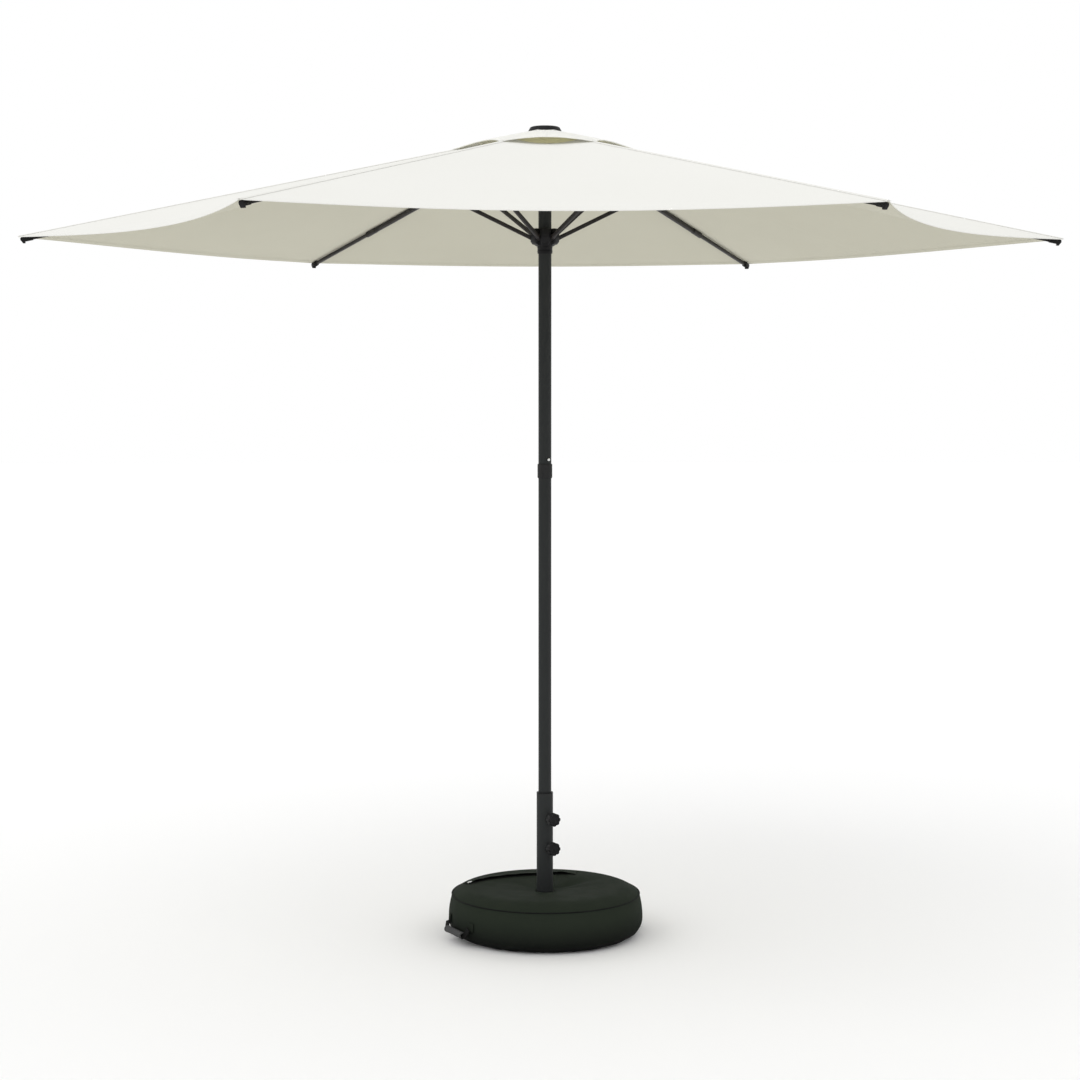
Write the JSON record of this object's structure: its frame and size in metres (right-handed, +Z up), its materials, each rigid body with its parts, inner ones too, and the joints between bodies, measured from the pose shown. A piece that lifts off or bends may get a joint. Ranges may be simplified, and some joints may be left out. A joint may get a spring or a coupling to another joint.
{
  "type": "patio umbrella with base",
  "caption": "Push-up patio umbrella with a six-sided vented canopy on hinged ribs and struts, a two-part pole and a round sand-filled bag base with clamp knobs.",
  "frame": {"origin": "on the ground under the middle of the mast, at the centre of the bag's flat bottom", "axes": "+Z up along the mast; +X through the tip of rib 1, the widest way across the canopy, corner to corner"},
  "size_m": [2.727, 2.3616, 2.1224],
  "materials": {
    "painted_steel": "satin",
    "black_plastic": "satin",
    "bright_steel": "satin",
    "canopy_cloth": "matte",
    "bag_cloth": "matte",
    "webbing": "matte",
    "grip_rubber": "matte",
    "sand": "matte"
  },
  "bodies": {
    "base": {"base_tube": "painted_steel", "tube_bush": "black_plastic", "foot_cross": "painted_steel", "sand_fill": "sand", "bag_shell": "bag_cloth"},
    "zip_pull": {"zip_pull": "bright_steel"},
    "handle_front": {"handle_strap_front": "webbing", "handle_grip_front": "grip_rubber"},
    "handle_rear": {"handle_strap_rear": "webbing", "handle_grip_rear": "grip_rubber"},
    "clamp_pad_upper": {"clamp_pad_upper": "black_plastic"},
    "clamp_pad_lower": {"clamp_pad_lower": "black_plastic"},
    "clamp_knob_upper": {"clamp_knob_upper": "black_plastic"},
    "clamp_knob_lower": {"clamp_knob_lower": "black_plastic"},
    "pole_plug": {"pole_plug": "black_plastic"},
    "mast": {"lower_pole": "painted_steel", "upper_pole": "painted_steel", "pole_collar": "black_plastic", "snap_spring": "bright_steel", "crown_hub": "black_plastic", "crown_wire": "bright_steel", "finial_cap": "black_plastic"},
    "snap_button": {"snap_button": "bright_steel"},
    "runner": {"runner": "black_plastic"},
    "rib_1": {"rib_1_inner": "painted_steel", "rib_1_outer": "painted_steel", "rib_1_cap": "black_plastic", "canopy_gore_1": "canopy_cloth", "vent_gore_1": "canopy_cloth"},
    "strut_1": {"strut_1": "painted_steel"},
    "rib_2": {"rib_2_inner": "painted_steel", "rib_2_outer": "painted_steel", "rib_2_cap": "black_plastic", "canopy_gore_2": "canopy_cloth", "vent_gore_2": "canopy_cloth"},
    "strut_2": {"strut_2": "painted_steel"},
    "rib_3": {"rib_3_inner": "painted_steel", "rib_3_outer": "painted_steel", "rib_3_cap": "black_plastic", "canopy_gore_3": "canopy_cloth", "vent_gore_3": "canopy_cloth"},
    "strut_3": {"strut_3": "painted_steel"},
    "rib_4": {"rib_4_inner": "painted_steel", "rib_4_outer": "painted_steel", "rib_4_cap": "black_plastic", "canopy_gore_4": "canopy_cloth", "vent_gore_4": "canopy_cloth"},
    "strut_4": {"strut_4": "painted_steel"},
    "rib_5": {"rib_5_inner": "painted_steel", "rib_5_outer": "painted_steel", "rib_5_cap": "black_plastic", "canopy_gore_5": "canopy_cloth", "vent_gore_5": "canopy_cloth"},
    "strut_5": {"strut_5": "painted_steel"},
    "rib_6": {"rib_6_inner": "painted_steel", "rib_6_outer": "painted_steel", "rib_6_cap": "black_plastic", "canopy_gore_6": "canopy_cloth", "vent_gore_6": "canopy_cloth"},
    "strut_6": {"strut_6": "painted_steel"}
  },
  "joints": [
    {"name": "pole_lift", "type": "slide", "parent": "base", "child": "pole_plug", "axis": [0, 0, 1], "range_m": [0, 0.15]},
    {"name": "pole_turn", "type": "hinge", "parent": "pole_plug", "child": "mast", "pos_m": [0, 0, 0.02], "axis": [0, 0, 1], "continuous": true},
    {"name": "runner_slide", "type": "slide", "parent": "mast", "child": "runner", "axis": [0, 0, -1], "range_m": [0, 0.50001], "deforming": ["canopy_gore_1", "canopy_gore_2", "canopy_gore_3", "canopy_gore_4", "canopy_gore_5", "canopy_gore_6", "vent_gore_1", "vent_gore_2", "vent_gore_3", "vent_gore_4", "vent_gore_5", "vent_gore_6"]},
    {"name": "rib_1_fold", "type": "hinge", "parent": "mast", "child": "rib_1", "pos_m": [0.035, 0, 2.0915], "axis": [0, 1, 0], "range_deg": [0, 71.68]},
    {"name": "strut_1_fold", "type": "hinge", "parent": "rib_1", "child": "strut_1", "pos_m": [0.38864, 0, 2.00636], "axis": [0, 1, 0], "range_deg": [-130.62, 0]},
    {"name": "rib_2_fold", "type": "hinge", "parent": "mast", "child": "rib_2", "pos_m": [0.0175, 0.03031, 2.0915], "axis": [-0.866, 0.5, 0], "range_deg": [0, 71.68]},
    {"name": "strut_2_fold", "type": "hinge", "parent": "rib_2", "child": "strut_2", "pos_m": [0.19432, 0.33657, 2.00636], "axis": [-0.866, 0.5, 0], "range_deg": [-130.62, 0]},
    {"name": "rib_3_fold", "type": "hinge", "parent": "mast", "child": "rib_3", "pos_m": [-0.0175, 0.03031, 2.0915], "axis": [-0.866, -0.5, 0], "range_deg": [0, 71.68]},
    {"name": "strut_3_fold", "type": "hinge", "parent": "rib_3", "child": "strut_3", "pos_m": [-0.19432, 0.33657, 2.00636], "axis": [-0.866, -0.5, 0], "range_deg": [-130.62, 0]},
    {"name": "rib_4_fold", "type": "hinge", "parent": "mast", "child": "rib_4", "pos_m": [-0.035, 0, 2.0915], "axis": [0, -1, 0], "range_deg": [0, 71.68]},
    {"name": "strut_4_fold", "type": "hinge", "parent": "rib_4", "child": "strut_4", "pos_m": [-0.38864, 0, 2.00636], "axis": [0, -1, 0], "range_deg": [-130.62, 0]},
    {"name": "rib_5_fold", "type": "hinge", "parent": "mast", "child": "rib_5", "pos_m": [-0.0175, -0.03031, 2.0915], "axis": [0.866, -0.5, 0], "range_deg": [0, 71.68]},
    {"name": "strut_5_fold", "type": "hinge", "parent": "rib_5", "child": "strut_5", "pos_m": [-0.19432, -0.33657, 2.00636], "axis": [0.866, -0.5, 0], "range_deg": [-130.62, 0]},
    {"name": "rib_6_fold", "type": "hinge", "parent": "mast", "child": "rib_6", "pos_m": [0.0175, -0.03031, 2.0915], "axis": [0.866, 0.5, 0], "range_deg": [0, 71.68]},
    {"name": "strut_6_fold", "type": "hinge", "parent": "rib_6", "child": "strut_6", "pos_m": [0.19432, -0.33657, 2.00636], "axis": [0.866, 0.5, 0], "range_deg": [-130.62, 0]},
    {"name": "snap_press", "type": "slide", "parent": "mast", "child": "snap_button", "axis": [-0.5592, 0.829, 0], "range_m": [0, 0.004], "stiffness_N_per_m": 900, "springref_m": -0.001, "deforming": ["snap_spring"]},
    {"name": "clamp_upper_pad_travel", "type": "slide", "parent": "base", "child": "clamp_pad_upper", "axis": [0.3907, -0.9205, 0], "range_m": [0, 0.00376]},
    {"name": "clamp_upper_turn", "type": "hinge", "parent": "clamp_pad_upper", "child": "clamp_knob_upper", "pos_m": [0.01758, -0.04142, 0.3117], "axis": [0.3907, -0.9205, 0], "range_deg": [0, 1080]},
    {"name": "clamp_lower_pad_travel", "type": "slide", "parent": "base", "child": "clamp_pad_lower", "axis": [0.3907, -0.9205, 0], "range_m": [0, 0.00376]},
    {"name": "clamp_lower_turn", "type": "hinge", "parent": "clamp_pad_lower", "child": "clamp_knob_lower", "pos_m": [0.01758, -0.04142, 0.2339], "axis": [0.3907, -0.9205, 0], "range_deg": [0, 1080]},
    {"name": "zip_run", "type": "hinge", "parent": "base", "child": "zip_pull", "pos_m": [0.034, -0.148, 0.1325], "axis": [0, 0, 1], "range_deg": [-62, 0]},
    {"name": "handle_front_flip", "type": "hinge", "parent": "base", "child": "handle_front", "pos_m": [-0.22829, -0.11135, 0.05], "axis": [-0.4384, 0.8988, 0], "range_deg": [0, 110]},
    {"name": "handle_rear_flip", "type": "hinge", "parent": "base", "child": "handle_rear", "pos_m": [0.22829, 0.11135, 0.05], "axis": [0.4384, -0.8988, 0], "range_deg": [0, 110]}
  ],
  "couplings": [
    {"joint": "rib_1_fold", "follows": "runner_slide", "rad_per_m": 2.5017},
    {"joint": "strut_1_fold", "follows": "runner_slide", "rad_per_m": -4.5591},
    {"joint": "rib_2_fold", "follows": "runner_slide", "rad_per_m": 2.5017},
    {"joint": "strut_2_fold", "follows": "runner_slide", "rad_per_m": -4.5591},
    {"joint": "rib_3_fold", "follows": "runner_slide", "rad_per_m": 2.5017},
    {"joint": "strut_3_fold", "follows": "runner_slide", "rad_per_m": -4.5591},
    {"joint": "rib_4_fold", "follows": "runner_slide", "rad_per_m": 2.5017},
    {"joint": "strut_4_fold", "follows": "runner_slide", "rad_per_m": -4.5591},
    {"joint": "rib_5_fold", "follows": "runner_slide", "rad_per_m": 2.5017},
    {"joint": "strut_5_fold", "follows": "runner_slide", "rad_per_m": -4.5591},
    {"joint": "rib_6_fold", "follows": "runner_slide", "rad_per_m": 2.5017},
    {"joint": "strut_6_fold", "follows": "runner_slide", "rad_per_m": -4.5591},
    {"joint": "clamp_upper_pad_travel", "follows": "clamp_upper_turn", "m_per_rad": 0.00019894},
    {"joint": "clamp_lower_pad_travel", "follows": "clamp_lower_turn", "m_per_rad": 0.00019894}
  ]
}
